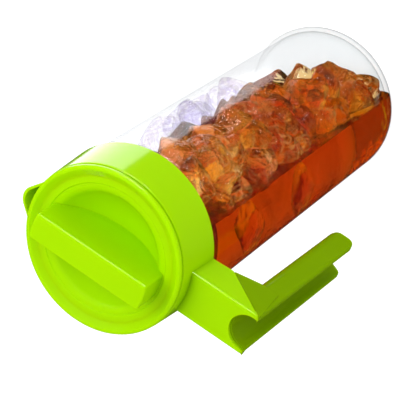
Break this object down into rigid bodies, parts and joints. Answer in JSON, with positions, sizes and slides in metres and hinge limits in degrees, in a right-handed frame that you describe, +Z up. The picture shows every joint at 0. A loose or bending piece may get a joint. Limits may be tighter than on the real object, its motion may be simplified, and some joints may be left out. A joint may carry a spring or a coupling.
{
  "type": "iced tea maker",
  "caption": "Clear pitcher with a screw-on lid, a twist bar, a pouring spout, an open-channel side handle and a tea infuser hanging inside.",
  "frame": {"origin": "centre of the jug's flat base, on the surface that it stands on", "axes": "+Z up the jug's axis to the lid, +X towards the handle, -X towards the spout"},
  "size_m": [0.1536, 0.104, 0.3],
  "materials": {
    "clear_plastic": "clear",
    "green_plastic": "satin gloss",
    "grip_plastic": "satin",
    "plug_plastic": "satin",
    "seal_silicone": "translucent white",
    "infuser_plastic": "clear",
    "mesh": "fine woven mesh"
  },
  "bodies": {
    "jug": {"jug_body": "clear_plastic", "jug_collar": "green_plastic", "collar_seal": "seal_silicone", "handle_grip": "grip_plastic"},
    "seal": {"lid_seal": "seal_silicone"},
    "lid": {"lid_shell": "green_plastic", "lid_plug": "plug_plastic"},
    "infuser": {"infuser_neck": "infuser_plastic", "infuser_cage": "infuser_plastic", "infuser_mesh": "mesh"},
    "infuser_cap": {"infuser_base": "infuser_plastic"}
  },
  "joints": [
    {"name": "lid_lift", "type": "slide", "parent": "jug", "child": "seal", "axis": [0, 0, 1], "range_m": [0, 0.005]},
    {"name": "lid_turn", "type": "hinge", "parent": "seal", "child": "lid", "pos_m": [0, 0, 0.28], "axis": [0, 0, 1], "range_deg": [0, 90]},
    {"name": "infuser_lock", "type": "hinge", "parent": "lid", "child": "infuser", "pos_m": [0, 0, 0.25], "axis": [0, 0, 1], "range_deg": [0, 60]},
    {"name": "cap_turn", "type": "hinge", "parent": "infuser", "child": "infuser_cap", "pos_m": [0, 0, 0.136], "axis": [0, 0, 1], "range_deg": [0, 60]}
  ],
  "couplings": [
    {"joint": "lid_lift", "follows": "lid_turn", "m_per_rad": 0.0031831}
  ]
}
